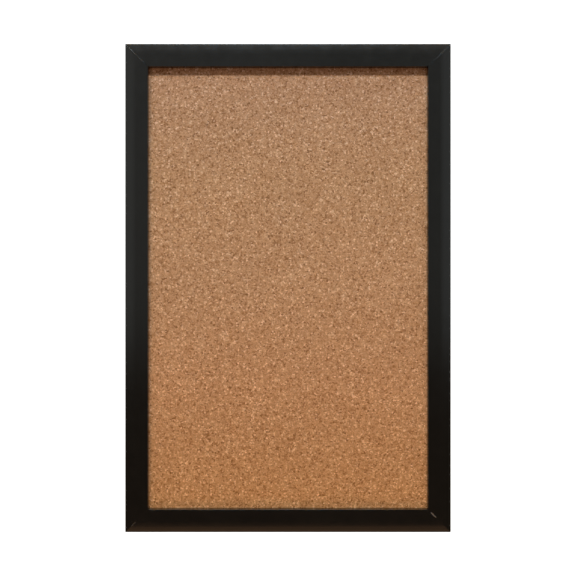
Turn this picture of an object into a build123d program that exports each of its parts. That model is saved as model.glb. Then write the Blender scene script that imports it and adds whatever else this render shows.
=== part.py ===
"""Framed cork bulletin board, 300 x 450 mm, made to hang upright on a wall.

X is to the right as the reader sees the board, Y points back to the wall and Z is up.
The origin is on the wall, behind the middle of the board. All sizes are in millimetres.
"""
from build123d import *
import os

# Whole board
BOARD_WIDTH = 300.0
BOARD_HEIGHT = 450.0
WALL_GAP = 5.0  # from the frame's back to the wall, kept open by the bumpers

# Frame moulding, seen in section
MOULDING_WIDTH = 21.0
MOULDING_DEPTH = 20.0
LIP_DEPTH = 8.0  # how far the cork lies behind the frame's face
RABBET_WIDTH = 6.0
CROWN_WIDTH = 5.5  # from the outer side to where the crown's tangents meet
CROWN_DROP = 0.55  # of the face at the outer side
CROWN_RADIUS = 75.0
ARRIS_RADIUS = 0.6  # where the face meets the outer side
SIGHT_RADIUS = 0.3  # where the face meets the lip's inner wall
MITRE_EASING = 0.2  # rounding of the front edges where two rails meet

# Panels in the rabbet
CORK_THICKNESS = 3.0
BACK_THICKNESS = 3.0
PANEL_CLEARANCE = 0.75  # between a panel's edge and the rabbet, all round

# V-nails across each mitre
NAIL_LEG = 4.6
NAIL_THICKNESS = 0.7
NAIL_DEPTH = 10.0
NAIL_INSETS = (3.5, 8.2)  # from the outer edges of the frame to each nail's apex

# Turn buttons and their screws
BUTTON_WIDTH = 9.0
BUTTON_REACH = 18.0  # from the pivot to the tip
BUTTON_THICKNESS = 1.2
BUTTON_TIP_LENGTH = 4.5  # the tip is bent up for a finger
BUTTON_TIP_RISE = 1.1
BUTTON_GAP = 0.3  # between the frame's back and the button
BUTTON_INSET = 8.0  # from the frame's outer edge to the pivot
BUTTON_STILE_HEIGHT = 80.0  # above and below the board's middle
PIVOT_CLEARANCE = 0.05
PIVOT_HEAD_GAP = 0.15
PIVOT_SHANK_RADIUS = 1.6
PIVOT_SHANK_LENGTH = 12.0
PIVOT_HEAD_RADIUS = 3.2
PIVOT_HEAD_HEIGHT = 1.7

# Hangers: a strap with a curled eye, and a D-ring in the eye
RING_WIRE_RADIUS = 1.0
RING_HALF_WIDTH = 6.3  # to the middle of the wire
RING_LEG = 4.0
RING_CORNER_RADIUS = 1.25
EYE_CLEARANCE = 0.08
EYE_HEIGHT = 2.3  # of the eye's axis above the frame's back
STRAP_WIDTH = 10.0
STRAP_THICKNESS = 0.8
STRAP_LENGTH = 36.0
STRAP_END_RADIUS = 4.0
STRAP_INSET = 7.5  # from the stile's outer edge to the strap's middle
STRAP_SCREW_DROPS = (16.5, 30.0)  # below the eye
EYE_ABOVE_MIDDLE = 150.0
STRAP_SHANK_RADIUS = 1.2
STRAP_SHANK_LENGTH = 10.0
STRAP_HEAD_RADIUS = 2.5
STRAP_HEAD_HEIGHT = 1.3

# Cross recess in every screw head
RECESS_WIDTH = 0.7
RECESS_SPAN_SHARE = 1.2  # of the head's radius
RECESS_DEPTH_SHARE = 0.55  # of the head's height

# Wall bumpers
BUMPER_RADIUS = 6.0
BUMPER_ROUNDING = 1.2
BUMPER_INSET = 7.0  # from the frame's side
BUMPER_FROM_END = 30.0  # from the frame's top or bottom

# Worked out from the sizes above
FRAME_BACK = -WALL_GAP
FRAME_FRONT = FRAME_BACK - MOULDING_DEPTH
CORK_FRONT = FRAME_FRONT + LIP_DEPTH
CORE_FRONT = CORK_FRONT + CORK_THICKNESS
PANEL_FRONT = FRAME_BACK - BACK_THICKNESS
LAND_WIDTH = MOULDING_WIDTH - RABBET_WIDTH
HALF_WIDTH = BOARD_WIDTH / 2
HALF_HEIGHT = BOARD_HEIGHT / 2
PANEL_WIDTH = BOARD_WIDTH - 2 * (LAND_WIDTH + PANEL_CLEARANCE)
PANEL_HEIGHT = BOARD_HEIGHT - 2 * (LAND_WIDTH + PANEL_CLEARANCE)

# A sketch on this plane has +X across and +Z up, and an extrusion goes back towards the wall
UPRIGHT = Plane(origin=(0, 0, 0), x_dir=(1, 0, 0), z_dir=(0, -1, 0))


def box_between(low, high):
    """A box from its lowest corner to its highest."""
    size = [h - l for l, h in zip(low, high)]
    centre = [(h + l) / 2 for l, h in zip(low, high)]
    return Pos(*centre) * Box(*size)


def upright_prism(outline, front, back):
    """An upright outline, drawn in X and Z, made solid between two depths."""
    solid = extrude(UPRIGHT * outline, amount=back - front, dir=(0, 1, 0))
    return Pos(0, front, 0) * solid


def moulding_section():
    """The moulding cut across: its outer side at height 0, its front towards -Y."""
    arris = FRAME_FRONT + CROWN_DROP
    outline = [
        (FRAME_BACK, 0),
        (arris, 0),
        (FRAME_FRONT, -CROWN_WIDTH),
        (FRAME_FRONT, -MOULDING_WIDTH),
        (CORK_FRONT, -MOULDING_WIDTH),
        (CORK_FRONT, -LAND_WIDTH),
        (FRAME_BACK, -LAND_WIDTH),
    ]
    section = Polygon(*outline, align=None)
    roundings = {
        (arris, 0): ARRIS_RADIUS,
        (FRAME_FRONT, -CROWN_WIDTH): CROWN_RADIUS,
        (FRAME_FRONT, -MOULDING_WIDTH): SIGHT_RADIUS,
    }
    for corner, radius in roundings.items():
        vertex = section.vertices().sort_by_distance((*corner, 0))[0]
        section = fillet(vertex, radius)
    return Plane.YZ * section


def mitred_rail(length):
    """A rail along X with 45 degree ends, its outer side at height 0."""
    half = length / 2
    straight = extrude(moulding_section(), amount=half, both=True)
    mitred_outline = Polygon(
        (-half, 0),
        (half, 0),
        (half - MOULDING_WIDTH, -MOULDING_WIDTH),
        (MOULDING_WIDTH - half, -MOULDING_WIDTH),
        align=None,
    )
    return ease_mitres(straight & upright_prism(mitred_outline, FRAME_FRONT, FRAME_BACK))


def ease_mitres(rail):
    """Round the front edges of both mitred ends, so that a closed joint shows as a fine groove."""
    ends = [face for face in rail.faces() if min(abs(face.normal_at().X), abs(face.normal_at().Z)) > 0.5]
    front_limit = FRAME_FRONT + CROWN_DROP + ARRIS_RADIUS
    front_edges = [edge for face in ends for edge in face.edges() if edge.center().Y < front_limit]
    return fillet(front_edges, MITRE_EASING)


def v_nail(x_side, z_side, inset):
    """A V-nail with its point to a corner of the frame and a leg in each of the two rails."""
    legs = None
    for leg_x, leg_z in ((NAIL_LEG, NAIL_THICKNESS), (NAIL_THICKNESS, NAIL_LEG)):
        outer_x = HALF_WIDTH - inset
        outer_z = HALF_HEIGHT - inset
        near = (x_side * outer_x, z_side * outer_z)
        far = (x_side * (outer_x - leg_x), z_side * (outer_z - leg_z))
        low = (min(near[0], far[0]), FRAME_BACK - NAIL_DEPTH, min(near[1], far[1]))
        high = (max(near[0], far[0]), FRAME_BACK, max(near[1], far[1]))
        leg = box_between(low, high)
        legs = leg if legs is None else legs + leg
    return legs


def corner_nails():
    """Two V-nails in each of the four mitres."""
    return [
        v_nail(x_side, z_side, inset)
        for x_side in (-1, 1)
        for z_side in (-1, 1)
        for inset in NAIL_INSETS
    ]


def panel(front, back):
    """One sheet of the stack in the rabbet."""
    half_x = PANEL_WIDTH / 2
    half_z = PANEL_HEIGHT / 2
    return box_between((-half_x, front, -half_z), (half_x, back, half_z))


def pan_head_screw(head_radius, head_height, shank_radius, shank_length):
    """A screw driven towards -Y, with the underside of its head at the origin."""
    head = Rot(X=-90) * Cylinder(head_radius, head_height, align=(Align.CENTER, Align.CENTER, Align.MIN))
    rim = head.edges().group_by(Axis.Y)[-1]
    head = fillet(rim, head_height * 0.6)
    tip_length = 2 * shank_radius
    shank = Rot(X=90) * Cylinder(
        shank_radius, shank_length - tip_length, align=(Align.CENTER, Align.CENTER, Align.MIN)
    )
    tip = Rot(X=90) * Cone(shank_radius, 0.2, tip_length, align=(Align.CENTER, Align.CENTER, Align.MIN))
    screw = head + shank + Pos(0, tip_length - shank_length, 0) * tip
    span = head_radius * RECESS_SPAN_SHARE / 2
    half_slot = RECESS_WIDTH / 2
    floor = head_height * (1 - RECESS_DEPTH_SHARE)
    for half_x, half_z in ((span, half_slot), (half_slot, span)):
        screw -= box_between((-half_x, floor, -half_z), (half_x, head_height, half_z))
    return screw


def pivot_screw():
    """The screw that a turn button turns on."""
    return pan_head_screw(
        PIVOT_HEAD_RADIUS, PIVOT_HEAD_HEIGHT, PIVOT_SHANK_RADIUS, PIVOT_SHANK_LENGTH
    )


def strap_screw():
    """A small screw through a hanger strap."""
    return pan_head_screw(
        STRAP_HEAD_RADIUS, STRAP_HEAD_HEIGHT, STRAP_SHANK_RADIUS, STRAP_SHANK_LENGTH
    )


def turn_button():
    """A turn button that points along +X, with its pivot on the Y axis and its underside at 0."""
    end_radius = BUTTON_WIDTH / 2
    spacing = BUTTON_REACH - end_radius
    outline = Pos(spacing / 2, 0) * SlotCenterToCenter(spacing, BUTTON_WIDTH)
    outline -= Circle(PIVOT_SHANK_RADIUS + PIVOT_CLEARANCE)
    bend = BUTTON_REACH - BUTTON_TIP_LENGTH
    side_view = Polygon(
        (-end_radius, 0),
        (bend, 0),
        (BUTTON_REACH, BUTTON_TIP_RISE),
        (BUTTON_REACH, BUTTON_TIP_RISE + BUTTON_THICKNESS),
        (bend, BUTTON_THICKNESS),
        (-end_radius, BUTTON_THICKNESS),
        align=None,
    )
    bent_strip = extrude(side_view, amount=BUTTON_WIDTH, both=True)
    return bent_strip & upright_prism(outline, 0, BUTTON_TIP_RISE + BUTTON_THICKNESS)


def d_ring():
    """A D-ring that hangs from its straight bar, with the bar's middle at the origin."""
    inner_bar = RING_HALF_WIDTH - RING_CORNER_RADIUS
    right = RING_HALF_WIDTH
    quarter = RING_CORNER_RADIUS
    wire_path = (
        Line((-inner_bar, 0), (inner_bar, 0))
        + RadiusArc((inner_bar, 0), (right, -quarter), quarter)
        + Line((right, -quarter), (right, -RING_LEG))
        + ThreePointArc((right, -RING_LEG), (0, -RING_LEG - right), (-right, -RING_LEG))
        + Line((-right, -RING_LEG), (-right, -quarter))
        + RadiusArc((-right, -quarter), (-inner_bar, 0), quarter)
    )
    upright_path = Plane.XZ * wire_path
    wire_section = Plane.YZ * Circle(RING_WIRE_RADIUS)
    return sweep(wire_section, path=upright_path)


def hanger_strap():
    """A strap that hangs down from its curled eye; the eye's axis is above the origin."""
    eye_inside = RING_WIRE_RADIUS + EYE_CLEARANCE
    eye_outside = eye_inside + STRAP_THICKNESS
    side_view = Pos(EYE_HEIGHT, 0) * Circle(eye_outside)
    plate_top = -0.3 * STRAP_THICKNESS
    side_view += Polygon(
        (0, plate_top),
        (STRAP_THICKNESS, plate_top),
        (STRAP_THICKNESS, -STRAP_LENGTH),
        (0, -STRAP_LENGTH),
        align=None,
    )
    side_view -= Pos(EYE_HEIGHT, 0) * Circle(eye_inside)
    strap = extrude(Plane.YZ * side_view, amount=STRAP_WIDTH / 2, both=True)
    end_corners = strap.edges().filter_by(Axis.Y).group_by(Axis.Z)[0]
    strap = fillet(end_corners, STRAP_END_RADIUS)
    for drop in STRAP_SCREW_DROPS:
        hole = Rot(X=90) * Cylinder(STRAP_SHANK_RADIUS, 4 * STRAP_THICKNESS)
        strap -= Pos(0, 0, -drop) * hole
    return strap


def wall_bumper():
    """A round rubber pad between the frame's back and the wall."""
    pad = Rot(X=-90) * Cylinder(BUMPER_RADIUS, WALL_GAP, align=(Align.CENTER, Align.CENTER, Align.MIN))
    rim = pad.edges().group_by(Axis.Y)[-1]
    return Pos(0, FRAME_BACK, 0) * fillet(rim, BUMPER_ROUNDING)


def button_places():
    """Each turn button's name, its turn about Y, and its pivot's place in X and Z."""
    side_x = HALF_WIDTH - BUTTON_INSET
    end_z = HALF_HEIGHT - BUTTON_INSET
    return {
        "left_upper": (0, -side_x, BUTTON_STILE_HEIGHT),
        "left_lower": (0, -side_x, -BUTTON_STILE_HEIGHT),
        "right_upper": (180, side_x, BUTTON_STILE_HEIGHT),
        "right_lower": (180, side_x, -BUTTON_STILE_HEIGHT),
        "top": (90, 0, end_z),
        "bottom": (-90, 0, -end_z),
    }


def make_frame(nails, screws):
    """The four rails, with slots for the V-nails and holes for the screws."""
    top = Pos(0, 0, HALF_HEIGHT) * mitred_rail(BOARD_WIDTH)
    right = Pos(HALF_WIDTH, 0, 0) * Rot(Y=90) * mitred_rail(BOARD_HEIGHT)
    rails = {
        "top_rail": top,
        "bottom_rail": Rot(Y=180) * top,
        "right_stile": right,
        "left_stile": Rot(Y=180) * right,
    }
    cutters = nails + screws
    for name, rail in rails.items():
        for cutter in cutters:
            rail -= cutter
        rails[name] = rail
    return rails


def make_panels():
    """Cork in front, soft core behind it, and the hardboard back level with the frame's back."""
    return {
        "cork_sheet": panel(CORK_FRONT, CORE_FRONT),
        "core_board": panel(CORE_FRONT, PANEL_FRONT),
        "back_panel": panel(PANEL_FRONT, FRAME_BACK),
    }


def make_buttons():
    """The six turn buttons."""
    buttons = {}
    for name, (turn, x, z) in button_places().items():
        place = Pos(x, FRAME_BACK + BUTTON_GAP, z) * Rot(Y=turn)
        buttons["turn_button_" + name] = place * turn_button()
    return buttons


def make_button_screws():
    """The six pivot screws, each with its head just clear of its button."""
    head_seat = FRAME_BACK + BUTTON_GAP + BUTTON_THICKNESS + PIVOT_HEAD_GAP
    return [Pos(x, head_seat, z) * pivot_screw() for _, x, z in button_places().values()]


def make_hangers():
    """A strap and a ring on each stile."""
    hangers = {}
    for side, sign in (("left", -1), ("right", 1)):
        x = sign * (HALF_WIDTH - STRAP_INSET)
        hangers["hanger_strap_" + side] = Pos(x, FRAME_BACK, EYE_ABOVE_MIDDLE) * hanger_strap()
        hangers["d_ring_" + side] = Pos(x, FRAME_BACK + EYE_HEIGHT, EYE_ABOVE_MIDDLE) * d_ring()
    return hangers


def make_hanger_screws():
    """Two screws through each strap."""
    seat = FRAME_BACK + STRAP_THICKNESS
    return [
        Pos(sign * (HALF_WIDTH - STRAP_INSET), seat, EYE_ABOVE_MIDDLE - drop) * strap_screw()
        for sign in (-1, 1)
        for drop in STRAP_SCREW_DROPS
    ]


def make_bumpers():
    """One bumper near each end of both stiles."""
    bumpers = {}
    for x_name, x_sign in (("left", -1), ("right", 1)):
        for z_name, z_sign in (("upper", 1), ("lower", -1)):
            x = x_sign * (HALF_WIDTH - BUMPER_INSET)
            z = z_sign * (HALF_HEIGHT - BUMPER_FROM_END)
            bumpers[f"wall_bumper_{x_name}_{z_name}"] = Pos(x, 0, z) * wall_bumper()
    return bumpers


def make_board():
    """Every sub-part by name."""
    nails = corner_nails()
    button_screws = make_button_screws()
    hanger_screws = make_hanger_screws()
    parts = make_frame(nails, button_screws + hanger_screws)
    parts.update(make_panels())
    parts.update(make_buttons())
    parts.update(make_hangers())
    parts.update(make_bumpers())
    parts["corner_v_nails"] = Compound(children=nails)
    parts["turn_button_screws"] = Compound(children=button_screws)
    parts["hanger_screws"] = Compound(children=hanger_screws)
    return parts


os.makedirs("parts", exist_ok=True)
for part_name, shape in make_board().items():
    export_step(shape, f"parts/{part_name}.step")
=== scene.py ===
"""Looks for a framed cork bulletin board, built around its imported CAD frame.

Lengths are in metres, in the row's frame: X to the reader's right, Y back to the wall, Z up.
"""

import bpy
import numpy as np
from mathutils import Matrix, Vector


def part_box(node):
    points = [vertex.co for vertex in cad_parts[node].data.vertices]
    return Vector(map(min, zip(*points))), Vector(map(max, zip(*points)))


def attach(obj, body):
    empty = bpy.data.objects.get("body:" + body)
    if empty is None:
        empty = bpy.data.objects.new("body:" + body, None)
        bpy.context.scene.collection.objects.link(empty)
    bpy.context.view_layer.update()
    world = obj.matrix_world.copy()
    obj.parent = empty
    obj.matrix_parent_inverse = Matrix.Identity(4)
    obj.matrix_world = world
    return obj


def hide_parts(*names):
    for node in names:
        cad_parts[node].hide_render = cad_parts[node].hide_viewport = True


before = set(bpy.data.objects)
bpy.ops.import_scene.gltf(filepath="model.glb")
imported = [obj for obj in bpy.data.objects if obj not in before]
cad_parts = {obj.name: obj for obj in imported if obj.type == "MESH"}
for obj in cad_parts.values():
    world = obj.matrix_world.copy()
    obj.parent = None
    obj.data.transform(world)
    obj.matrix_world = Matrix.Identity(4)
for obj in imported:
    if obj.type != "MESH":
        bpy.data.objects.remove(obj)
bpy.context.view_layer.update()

MM = 0.001

# The frame's sizes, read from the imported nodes
TOP_LOW, TOP_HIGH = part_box("top_rail")
CORK_LOW, CORK_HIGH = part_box("cork_sheet")
HALF_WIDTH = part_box("left_stile")[0].x * -1
HALF_HEIGHT = TOP_HIGH.z
FACE_Y = TOP_LOW.y
BACK_Y = TOP_HIGH.y
CORK_Y = CORK_LOW.y
RAILS = ("top_rail", "bottom_rail", "left_stile", "right_stile")

# Camera: square on to the board's middle
CAMERA_DISTANCE = 0.95
VIEW_WIDTH = 0.5303  # what the picture's width takes in at the frame's face
SENSOR_WIDTH = 36.0

# Stretches of the mitres painted lighter, partly a painted highlight where the joints catch the light and
# partly scuffed foil: side of X, side of Z, first and last inset, strength
MITRE_HIGHLIGHTS_AND_SCUFFS = (
    (-1, 1, 2.5 * MM, 16.5 * MM, 0.10),
    (-1, -1, 5.2 * MM, 9.8 * MM, 0.25),
    (1, -1, 13.5 * MM, 18.5 * MM, 1.0),
    (1, 1, 6.0 * MM, 9.0 * MM, 0.05),
)

# The room's light, apart from the lamps: cool from below and warm from above
ROOM_LOW = (0.010, 0.035, 0.050)
ROOM_HIGH = (0.075, 0.045, 0.020)
ROOM_LOW_UP_TO = -0.45  # both as the height of a direction of length one
ROOM_HIGH_FROM = -0.15

# A little over white, so that the plain background and the floor reach full white everywhere
BACKGROUND_STRENGTH = 1.25


# ---------------------------------------------------------------- node trees


class Surface:
    """One procedural material: short calls that add nodes and return their output sockets."""

    def __init__(self, name):
        self.material = bpy.data.materials.new(name)
        self.material.use_nodes = True
        self.tree = self.material.node_tree
        self.shader = self.tree.nodes["Principled BSDF"]
        self.place = self.add("TexCoord").outputs["Object"]

    def add(self, kind, sockets=None, **settings):
        """A node of that kind, with its settings, and with numbers or links on its input sockets."""
        node = self.tree.nodes.new("ShaderNode" + kind)
        for name, value in settings.items():
            setattr(node, name, value)
        for key, value in (sockets or {}).items():
            self.put(node.inputs[key], value)
        return node

    def put(self, socket, value):
        """Links a socket to an output, or sets it to a value."""
        if isinstance(value, bpy.types.NodeSocket):
            self.tree.links.new(value, socket)
        elif hasattr(value, "__len__") and len(value) == 3 and socket.type == "RGBA":
            socket.default_value = (*value, 1.0)
        else:
            socket.default_value = value

    def finish(self, **sockets):
        """Sets the shader's sockets; an underscore in a name stands for a space."""
        for key, value in sockets.items():
            self.put(self.shader.inputs[key.replace("_", " ")], value)
        return self.material

    def math(self, operation, a, b=0.0, c=0.0):
        """The result of one sum."""
        return self.add("Math", {0: a, 1: b, 2: c}, operation=operation).outputs[0]

    def axes(self, vector=None):
        """The X, Y and Z of a vector, by default of the place on the object."""
        node = self.add("SeparateXYZ", {0: vector or self.place})
        return node.outputs

    def stretch(self, scale):
        """The place on the object, scaled along each axis."""
        node = self.add("VectorMath", {0: self.place, 1: scale}, operation="MULTIPLY")
        return node.outputs[0]

    def warp(self, size, amount, vector=None):
        """The place on the object, pushed about by noise of that size."""
        vector = vector or self.place
        noise = self.add("TexNoise", {"Vector": vector, "Scale": 1 / size, "Detail": 2.0})
        middle = (0.5, 0.5, 0.5)
        centred = self.add("VectorMath", {0: noise.outputs["Color"], 1: middle}, operation="SUBTRACT")
        push = self.add("VectorMath", {0: centred.outputs[0], "Scale": amount}, operation="SCALE")
        return self.add("VectorMath", {0: vector, 1: push.outputs[0]}, operation="ADD").outputs[0]

    def noise(self, size, detail=2.0, roughness=0.5, vector=None, variant=None):
        """Noise from 0 to 1 whose lumps are about that size; each variant is another pattern."""
        sockets = {
            "Vector": vector or self.place,
            "Scale": 1 / size,
            "Detail": detail,
            "Roughness": roughness,
        }
        if variant is None:
            return self.add("TexNoise", sockets).outputs[0]
        return self.add("TexNoise", {**sockets, "W": variant}, noise_dimensions="4D").outputs[0]

    def cells(self, size, feature="F1", vector=None):
        """Voronoi cells of about that size."""
        return self.add("TexVoronoi", {"Vector": vector or self.place, "Scale": 1 / size}, feature=feature)

    def random_value(self, cells):
        """One random number for each cell."""
        return self.add("SeparateColor", {0: cells.outputs["Color"]}).outputs[0]

    def span(self, value, low, high, to_low=0.0, to_high=1.0):
        """value taken from one range to another, and held at its ends."""
        sockets = {"Value": value, 1: low, 2: high, 3: to_low, 4: to_high}
        return self.add("MapRange", sockets).outputs[0]

    def ramp(self, value, stops):
        """A colour ramp from a list of places and colours."""
        node = self.add("ValToRGB", {0: value})
        elements = node.color_ramp.elements
        while len(elements) < len(stops):
            elements.new(1.0)
        for element, (position, colour) in zip(elements, stops):
            element.position = position
            element.color = (*colour, 1.0)
        return node.outputs[0]

    def mix(self, factor, a, b, blend="MIX"):
        """Two colours mixed."""
        node = self.add("Mix", data_type="RGBA", blend_type=blend)
        self.put(node.inputs[0], factor)
        self.put(node.inputs[6], a)
        self.put(node.inputs[7], b)
        return node.outputs[2]

    def shaded(self, colour, *factors):
        """A colour darkened or lightened by plain factors."""
        for factor in factors:
            grey = self.add("CombineColor", {0: factor, 1: factor, 2: factor}).outputs[0]
            colour = self.mix(1.0, colour, grey, "MULTIPLY")
        return colour

    def bump(self, height, distance, strength=1.0, normal=None):
        """A bumped normal; distance is the height of a full step."""
        sockets = {"Height": height, "Distance": distance, "Strength": strength}
        if normal is not None:
            sockets["Normal"] = normal
        return self.add("Bump", sockets).outputs[0]


# ---------------------------------------------------------------- materials


def edge_distances(surface):
    """How far a place is in from the frame's nearest side, and from its nearest end, in metres."""
    x, _, z = surface.axes()
    across = surface.math("SUBTRACT", HALF_WIDTH, surface.math("ABSOLUTE", x))
    along = surface.math("SUBTRACT", HALF_HEIGHT, surface.math("ABSOLUTE", z))
    return across, along


def mitre_highlights_and_scuffs(surface, across, along):
    """Where the mitres are painted lighter, partly a painted highlight of the joints and partly scuffed
    foil: ragged chips in one stretch of each corner.
    """
    x, _, z = surface.axes()
    off_mitre = surface.math("ABSOLUTE", surface.math("SUBTRACT", across, along))
    inset = surface.math("MULTIPLY", surface.math("ADD", across, along), 0.5)
    near_line = surface.span(off_mitre, 1.8 * MM, 0.1 * MM)
    ragged = surface.noise(0.7 * MM, detail=4.0, roughness=0.7)
    total = 0.0
    for x_side, z_side, first, last, strength in MITRE_HIGHLIGHTS_AND_SCUFFS:
        right_side = surface.math("GREATER_THAN", surface.math("MULTIPLY", x, x_side), 0.0)
        right_end = surface.math("GREATER_THAN", surface.math("MULTIPLY", z, z_side), 0.0)
        started = surface.span(inset, first - 1.0 * MM, first + 1.0 * MM)
        stopped = surface.span(inset, last + 1.0 * MM, last - 1.0 * MM)
        here = surface.math("MULTIPLY", right_side, right_end)
        here = surface.math("MULTIPLY", here, surface.math("MULTIPLY", started, stopped))
        reach = surface.math("MULTIPLY", here, near_line)
        chips = surface.span(surface.math("SUBTRACT", reach, ragged), 0.0, 0.08)
        total = surface.math("MULTIPLY_ADD", chips, strength, total)
    return total


def bare_board_mask(surface, inset):
    """1 where the fibreboard shows bare: on the back inside the foil's turned edge, and in the rabbet."""
    y = surface.axes()[1]
    foil_edge = surface.math("MULTIPLY_ADD", surface.noise(30 * MM), 0.9 * MM, 2.6 * MM)
    foil_edge = surface.math("MULTIPLY_ADD", surface.noise(2 * MM, detail=3.0), 0.5 * MM, foil_edge)
    on_back = surface.math("GREATER_THAN", y, BACK_Y - 0.1 * MM)
    past_foil = surface.span(surface.math("SUBTRACT", inset, foil_edge), 0.0, 0.12 * MM)
    behind_lip = surface.math("GREATER_THAN", y, CORK_Y + 0.05 * MM)
    in_rabbet = surface.math("GREATER_THAN", inset, HALF_WIDTH - CORK_HIGH.x - 0.9 * MM)
    return surface.math(
        "MAXIMUM",
        surface.math("MULTIPLY", on_back, past_foil),
        surface.math("MULTIPLY", behind_lip, in_rabbet),
    )


def foil_material():
    """Black satin foil over fibreboard, which shows bare on the back, with lighter marks at the mitres
    that are partly a painted highlight and partly scuffs.
    """
    surface = Surface("black_foil_over_fibreboard")
    across, along = edge_distances(surface)
    inset = surface.math("MINIMUM", across, along)

    fine = surface.noise(0.35 * MM, detail=3.0, roughness=0.6)
    broad = surface.noise(45 * MM, detail=3.0, roughness=0.55)
    cloud = surface.noise(9 * MM, detail=2.0)
    specks = surface.span(surface.noise(0.9 * MM, detail=4.0, roughness=0.7), 0.70, 0.78)

    foil = surface.ramp(broad, [(0.3, (0.0040, 0.0040, 0.0042)), (0.7, (0.0056, 0.0055, 0.0054))])
    foil = surface.mix(surface.math("MULTIPLY", specks, 0.35), foil, (0.035, 0.034, 0.032))
    # Painted highlight and scuffs: stretches of the mitres are mixed to a lighter grey, partly standing in
    # for the light the joints catch and partly scuffed foil.
    highlight_and_scuff = mitre_highlights_and_scuffs(surface, across, along)
    foil = surface.mix(highlight_and_scuff, foil, (0.120, 0.105, 0.095))

    fibres = surface.noise(1.1 * MM, detail=5.0, roughness=0.7, vector=surface.warp(4 * MM, 3 * MM))
    bare = surface.ramp(
        fibres,
        [(0.25, (0.24, 0.155, 0.085)), (0.55, (0.37, 0.255, 0.150)), (0.8, (0.47, 0.345, 0.220))],
    )
    bare_amount = bare_board_mask(surface, inset)

    rough = surface.span(cloud, 0.3, 0.7, 0.17, 0.21)
    rough = surface.math("MULTIPLY_ADD", fine, 0.04, rough)
    rough = surface.math("MULTIPLY_ADD", highlight_and_scuff, 0.4, rough)
    rough = surface.math("MAXIMUM", rough, surface.math("MULTIPLY", bare_amount, 0.85))
    height = surface.math("MULTIPLY_ADD", cloud, 0.6, surface.math("MULTIPLY", fine, 0.4))
    height = surface.math("MULTIPLY_ADD", surface.math("MULTIPLY", fibres, bare_amount), 6.0, height)
    return surface.finish(
        Base_Color=surface.mix(bare_amount, foil, bare),
        Roughness=rough,
        Normal=surface.bump(height, 0.01 * MM, 0.4),
        Specular_IOR_Level=0.5,
    )


def cork_material():
    """Sanded granulated cork: tan granules of many shades, dark specks and pores, with a painted light
    tint, paler and cooler at the top and warmer at the foot.
    """
    surface = Surface("granulated_cork")
    bent = surface.warp(1.4 * MM, 1.2 * MM)
    bent = surface.warp(0.35 * MM, 0.22 * MM, bent)
    granules = surface.cells(1.4 * MM, vector=bent)
    crumbs = surface.cells(0.62 * MM, vector=bent)
    seams = surface.cells(1.4 * MM, feature="DISTANCE_TO_EDGE", vector=bent).outputs["Distance"]
    shade = surface.random_value(granules)
    pattern = surface.math("MULTIPLY", shade, 40.0)
    grain = surface.noise(0.3 * MM, detail=4.0, roughness=0.65, variant=pattern)
    broad = surface.noise(60 * MM, detail=2.0)
    height_up = surface.span(surface.axes()[2], -0.2, 0.2)
    # Painted light: the cork's colour goes cooler and paler towards the top and warmer towards the foot,
    # as the light falls across the sheet.
    painted_light_tint = surface.ramp(
        height_up,
        [
            (0.0, (1.04, 0.94, 0.78)),
            (0.28, (1.04, 0.97, 0.93)),
            (0.5, (1.0, 1.0, 1.03)),
            (0.75, (0.96, 0.98, 1.01)),
            (1.0, (0.89, 0.90, 1.0)),
        ],
    )

    colour = surface.ramp(
        shade,
        [
            (0.0, (0.280, 0.128, 0.052)),
            (0.08, (0.430, 0.214, 0.096)),
            (0.30, (0.552, 0.300, 0.152)),
            (0.55, (0.600, 0.336, 0.177)),
            (0.85, (0.650, 0.375, 0.205)),
            (1.0, (0.880, 0.580, 0.370)),
        ],
    )
    crumb_tint = surface.ramp(
        surface.random_value(crumbs),
        [
            (0.0, (0.74, 0.70, 0.66)),
            (0.25, (0.94, 0.93, 0.92)),
            (0.8, (1.03, 1.04, 1.05)),
            (1.0, (1.20, 1.28, 1.36)),
        ],
    )
    colour = surface.mix(1.0, colour, crumb_tint, "MULTIPLY")
    # The painted light tint, cooler at the top and warmer at the foot, is multiplied into the cork's
    # colour here.
    colour = surface.mix(1.0, colour, painted_light_tint, "MULTIPLY")

    binder = surface.span(surface.noise(2.2 * MM, detail=2.0), 0.35, 0.65, 0.92, 0.62)
    seam_shade = surface.span(seams, 0.0, 0.09, binder, 1.0)
    pits = surface.cells(1.1 * MM, vector=surface.warp(0.5 * MM, 0.5 * MM))
    pit_size = surface.span(surface.random_value(pits), 0.80, 1.0, 0.0, 0.26)
    past_rim = surface.math("SUBTRACT", pits.outputs["Distance"], pit_size)
    pit_depth = surface.span(past_rim, -0.06, 0.02, 1.0, 0.0)
    colour = surface.shaded(
        colour,
        seam_shade,
        surface.span(broad, 0.3, 0.7, 0.97, 1.03),
        surface.span(grain, 0.3, 0.7, 0.76, 1.24),
        surface.span(pit_depth, 0.0, 1.0, 1.0, 0.45),
    )

    height = surface.math("MULTIPLY_ADD", shade, 0.5, surface.math("MULTIPLY", grain, 0.5))
    height = surface.math("MULTIPLY_ADD", surface.span(seams, 0.0, 0.12), 0.5, height)
    height = surface.math("MULTIPLY_ADD", pit_depth, -1.0, height)
    return surface.finish(
        Base_Color=colour,
        Roughness=0.88,
        Normal=surface.bump(height, 0.12 * MM, 0.6),
        Specular_IOR_Level=0.25,
    )


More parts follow.
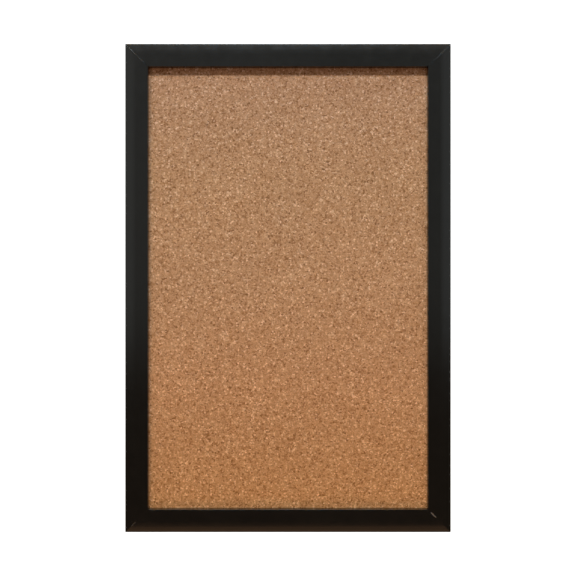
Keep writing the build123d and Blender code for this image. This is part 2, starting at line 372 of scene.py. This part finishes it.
def hardboard_material():
    """Brown hardboard: a pressed sheet of dark and pale fibres with a faint burnished skin."""
    surface = Surface("hardboard")
    fibres = surface.noise(0.8 * MM, detail=4.0, roughness=0.75, vector=surface.warp(3 * MM, 2 * MM))
    flecks = surface.cells(0.6 * MM, vector=surface.warp(1.2 * MM, 1.4 * MM))
    cloud = surface.noise(50 * MM, detail=3.0)
    colour = surface.ramp(
        fibres,
        [(0.25, (0.130, 0.068, 0.032)), (0.5, (0.225, 0.128, 0.064)), (0.75, (0.330, 0.205, 0.110))],
    )
    colour = surface.shaded(
        colour,
        surface.span(surface.random_value(flecks), 0.86, 0.98, 1.0, 0.66),
        surface.span(cloud, 0.3, 0.7, 0.88, 1.12),
    )
    rough = surface.span(cloud, 0.3, 0.7, 0.48, 0.62)
    normal = surface.bump(fibres, 0.06 * MM, 0.35)
    return surface.finish(Base_Color=colour, Roughness=rough, Normal=normal)


def core_material():
    """Soft pale fibreboard, seen only where the sheets' edges show."""
    surface = Surface("soft_fibreboard")
    fibres = surface.noise(0.7 * MM, detail=5.0, roughness=0.8, vector=surface.warp(2 * MM, 3 * MM))
    colour = surface.ramp(
        fibres,
        [(0.25, (0.24, 0.17, 0.10)), (0.5, (0.36, 0.27, 0.17)), (0.75, (0.48, 0.38, 0.26))],
    )
    return surface.finish(
        Base_Color=colour,
        Roughness=0.92,
        Normal=surface.bump(fibres, 0.2 * MM, 0.7),
        Specular_IOR_Level=0.2,
    )


def zinc_material():
    """Zinc-plated pressed steel: faint rolling lines, a blotchy plating and dulled patches."""
    surface = Surface("zinc_plated_steel")
    rolled = surface.noise(1 * MM, detail=3.0, vector=surface.stretch((0.25, 6.0, 6.0)))
    blotch = surface.noise(2.5 * MM, detail=3.0, roughness=0.6)
    dull = surface.noise(7 * MM, detail=2.0)
    colour = surface.ramp(
        blotch,
        [(0.3, (0.42, 0.42, 0.41)), (0.55, (0.56, 0.56, 0.54)), (0.8, (0.66, 0.65, 0.62))],
    )
    rough = surface.span(dull, 0.3, 0.7, 0.26, 0.44)
    rough = surface.math("MULTIPLY_ADD", rolled, 0.08, rough)
    normal = surface.bump(surface.math("ADD", rolled, blotch), 0.015 * MM, 0.4)
    return surface.finish(Base_Color=colour, Metallic=1.0, Roughness=rough, Normal=normal)


def rubber_material():
    """Matt black rubber with a fine skin and a little pale dust."""
    surface = Surface("black_rubber")
    skin = surface.noise(0.4 * MM, detail=3.0, roughness=0.6)
    dust = surface.noise(3 * MM, detail=4.0, roughness=0.65)
    colour = surface.ramp(dust, [(0.45, (0.014, 0.014, 0.014)), (0.75, (0.045, 0.043, 0.040))])
    rough = surface.span(dust, 0.3, 0.7, 0.62, 0.85)
    normal = surface.bump(skin, 0.04 * MM, 0.5)
    return surface.finish(Base_Color=colour, Roughness=rough, Normal=normal)


def paint(node, material):
    """Puts one material on every slot of a CAD node."""
    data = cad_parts[node].data
    for index in range(len(data.materials)):
        data.materials[index] = material


# ---------------------------------------------------------------- cork relief

CORK_CELL = 1.1 * MM
CORK_SEED = 7
RIM_COVERED = 4.0 * MM  # of the sheet's edge, which stays flat under the lip


def smooth_grid(values, passes):
    """Averages a grid with its neighbours."""
    for _ in range(passes):
        padded = np.pad(values, 1, mode="edge")
        values = (padded[:-2, 1:-1] + padded[2:, 1:-1] + 2 * values) / 4
        padded = np.pad(values, 1, mode="edge")
        values = (padded[1:-1, :-2] + padded[1:-1, 2:] + 2 * values) / 4
    return values


def cork_heights(rows, columns, random):
    """How far each point of the sheet's face lies behind its highest level."""
    granules = smooth_grid(random.normal(0.0, 1.0, (rows, columns)), 1)
    granules = granules / granules.std() * 0.05 * MM
    swell = smooth_grid(random.normal(0.0, 1.0, (rows, columns)), 60)
    swell = swell / swell.std() * 0.04 * MM
    pores = random.random((rows, columns))
    depth = np.where(pores < 0.02, 0.16 + 9.0 * pores, 0.0) * MM
    behind = 0.22 * MM + granules + swell
    return np.clip(behind, 0.02 * MM, None) + depth


def make_cork():
    """The cork sheet as a closed solid, with its granular face in real relief."""
    random = np.random.default_rng(CORK_SEED)
    low, high = CORK_LOW, CORK_HIGH
    columns = round((high.x - low.x) / CORK_CELL) + 1
    rows = round((high.z - low.z) / CORK_CELL) + 1
    x, z = np.meshgrid(np.linspace(low.x, high.x, columns), np.linspace(low.z, high.z, rows))
    inset = np.minimum.reduce([x - low.x, high.x - x, z - low.z, high.z - z])
    open_part = np.clip((inset - RIM_COVERED) / CORK_CELL, 0.0, 1.0)
    jitter = random.uniform(-0.3, 0.3, (2, rows, columns)) * CORK_CELL * open_part
    behind = cork_heights(rows, columns, random) * open_part
    face = np.stack([x + jitter[0], low.y + behind, z + jitter[1]], axis=-1).reshape(-1, 3)

    index = np.arange(rows * columns).reshape(rows, columns)
    quads = np.stack([index[:-1, :-1], index[:-1, 1:], index[1:, 1:], index[1:, :-1]], axis=-1)
    rim = np.concatenate([index[0, :-1], index[:-1, -1], index[-1, :0:-1], index[:0:-1, 0]])
    back = face[rim].copy()
    back[:, 1] = high.y
    first_back = len(face)
    middle = first_back + len(back)
    count = len(rim)
    around = [(i, (i + 1) % count) for i in range(count)]
    faces = quads.reshape(-1, 4).tolist()
    faces += [(int(rim[j]), int(rim[i]), first_back + i, first_back + j) for i, j in around]
    faces += [(first_back + j, first_back + i, middle) for i, j in around]
    centre = [(low.x + high.x) / 2, high.y, (low.z + high.z) / 2]
    points = np.concatenate([face, back, [centre]]).tolist()

    mesh = bpy.data.meshes.new("cork_relief")
    mesh.from_pydata(points, [], faces)
    mesh.polygons.foreach_set("use_smooth", [True] * len(quads.reshape(-1, 4)) + [False] * (2 * count))
    mesh.materials.append(cork_material())
    mesh.validate()
    cork = bpy.data.objects.new("cork_relief", mesh)
    bpy.context.scene.collection.objects.link(cork)
    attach(cork, "board")
    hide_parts("cork_sheet")
    return cork


# ---------------------------------------------------------------- studio


def make_camera():
    """A camera square on to the board's middle."""
    data = bpy.data.cameras.new("camera")
    data.sensor_width = SENSOR_WIDTH
    data.lens = SENSOR_WIDTH * CAMERA_DISTANCE / VIEW_WIDTH
    camera = bpy.data.objects.new("camera", data)
    camera.location = (0.0, FACE_Y - CAMERA_DISTANCE, 0.0)
    camera.rotation_euler = Vector((0, 1, 0)).to_track_quat("-Z", "Y").to_euler()
    bpy.context.scene.collection.objects.link(camera)
    bpy.context.scene.camera = camera


def soft_light(name, place, target, size, radiance, colour=(1.0, 1.0, 1.0)):
    """A rectangular light at a place, facing a target, of a given width, height and radiance."""
    data = bpy.data.lights.new(name, "AREA")
    data.shape = "RECTANGLE"
    data.size, data.size_y = size
    data.energy = radiance * np.pi * size[0] * size[1]
    data.color = colour
    light = bpy.data.objects.new(name, data)
    light.location = place
    aim = Vector(target) - Vector(place)
    light.rotation_euler = aim.to_track_quat("-Z", "Y").to_euler()
    light.visible_camera = False
    bpy.context.scene.collection.objects.link(light)
    return light


def make_world():
    """White to the camera; to everything else a dim room, warm above and cool below."""
    world = bpy.data.worlds.new("studio")
    world.use_nodes = True
    nodes, links = world.node_tree.nodes, world.node_tree.links
    nodes.clear()
    direction = nodes.new("ShaderNodeTexCoord")
    axes = nodes.new("ShaderNodeSeparateXYZ")
    height = nodes.new("ShaderNodeMapRange")
    height.inputs["From Min"].default_value = ROOM_LOW_UP_TO
    height.inputs["From Max"].default_value = ROOM_HIGH_FROM
    shade = nodes.new("ShaderNodeMix")
    shade.data_type = "RGBA"
    shade.inputs[6].default_value = (*ROOM_LOW, 1.0)
    shade.inputs[7].default_value = (*ROOM_HIGH, 1.0)
    room = nodes.new("ShaderNodeBackground")
    seen = nodes.new("ShaderNodeBackground")
    seen.inputs["Color"].default_value = (1.0, 1.0, 1.0, 1.0)
    seen.inputs["Strength"].default_value = BACKGROUND_STRENGTH
    path = nodes.new("ShaderNodeLightPath")
    mix = nodes.new("ShaderNodeMixShader")
    output = nodes.new("ShaderNodeOutputWorld")
    links.new(direction.outputs["Generated"], axes.inputs[0])
    links.new(axes.outputs["Z"], height.inputs["Value"])
    links.new(height.outputs[0], shade.inputs[0])
    links.new(shade.outputs[2], room.inputs["Color"])
    links.new(path.outputs["Is Camera Ray"], mix.inputs[0])
    links.new(room.outputs[0], mix.inputs[1])
    links.new(seen.outputs[0], mix.inputs[2])
    links.new(mix.outputs[0], output.inputs["Surface"])
    bpy.context.scene.world = world


def make_floor():
    """A plain pale floor, well below the hanging board."""
    half = 20.0
    level = -1.1
    corners = [(-half, -half, level), (half, -half, level), (half, half, level), (-half, half, level)]
    mesh = bpy.data.meshes.new("floor")
    mesh.from_pydata(corners, [], [(0, 1, 2, 3)])
    surface = Surface("pale_floor")
    surface.finish(
        Base_Color=(0.8, 0.8, 0.8),
        Roughness=0.9,
        Emission_Color=(1.0, 1.0, 1.0),
        Emission_Strength=BACKGROUND_STRENGTH,
    )
    mesh.materials.append(surface.material)
    floor = bpy.data.objects.new("floor", mesh)
    floor.visible_diffuse = False
    floor.visible_glossy = False
    bpy.context.scene.collection.objects.link(floor)


def make_lights():
    """Two high front keys, soft panels round the camera, a low warm light, and soft light for the back."""
    # The near key is cool and the far one warm, so the cork turns warmer towards its foot
    cool, warm = (0.08, 0.51, 1.0), (1.0, 0.68, 0.25)
    soft_light("key_near", (-0.07, FACE_Y - 1.1, 1.13), (0.0, FACE_Y, 0.05), (0.6, 0.19), 34.5, cool)
    soft_light("key_far", (-0.2, FACE_Y - 3.3, 3.0), (0.0, FACE_Y, 0.0), (1.8, 0.56), 40.0, warm)
    panel_y = FACE_Y - CAMERA_DISTANCE
    low, height = -0.115, 1.2
    middle = low + height / 2
    panels = {
        "panel_left": (-0.18, 0.36, 0.28, (0.9, 1.0, 1.0)),
        "panel_right": (0.18, 0.36, 0.205, (0.85, 1.0, 1.0)),
        "side_left": (-0.56, 0.40, 0.60, (0.93, 1.0, 0.98)),
        "side_right": (0.56, 0.40, 0.60, (0.88, 0.98, 1.0)),
    }
    for name, (x, width, radiance, colour) in panels.items():
        soft_light(name, (x, panel_y, middle), (x, 0.0, middle), (width, height), radiance, colour)
    soft_light("warm_low", (0.0, -1.2, -0.9), (0.0, -1.2, 0.0), (1.8, 1.2), 1.05, (1.0, 0.50, 0.22))
    soft_light("back_key", (0.9, 1.5, 1.1), (0.0, 0.0, 0.0), (1.0, 1.0), 6.5)
    soft_light("back_fill", (-1.2, 1.2, 0.2), (0.0, 0.0, 0.0), (1.2, 1.2), 2.0)
    for side, x in (("left", -1.3), ("right", 1.3)):
        soft_light("edge_" + side, (x, 0.35, 0.25), (0.0, 0.0, 0.0), (0.9, 1.4), 1.6)


# ---------------------------------------------------------------- build

bpy.context.scene.view_settings.view_transform = "Standard"
make_camera()
make_world()
make_floor()
make_lights()

foil = foil_material()
zinc = zinc_material()
rubber = rubber_material()
hardboard = hardboard_material()
core = core_material()
for node_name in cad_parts:
    if node_name in RAILS:
        paint(node_name, foil)
    elif node_name == "back_panel":
        paint(node_name, hardboard)
    elif node_name == "core_board":
        paint(node_name, core)
    elif node_name.startswith("wall_bumper"):
        paint(node_name, rubber)
    else:
        paint(node_name, zinc)
make_cork()
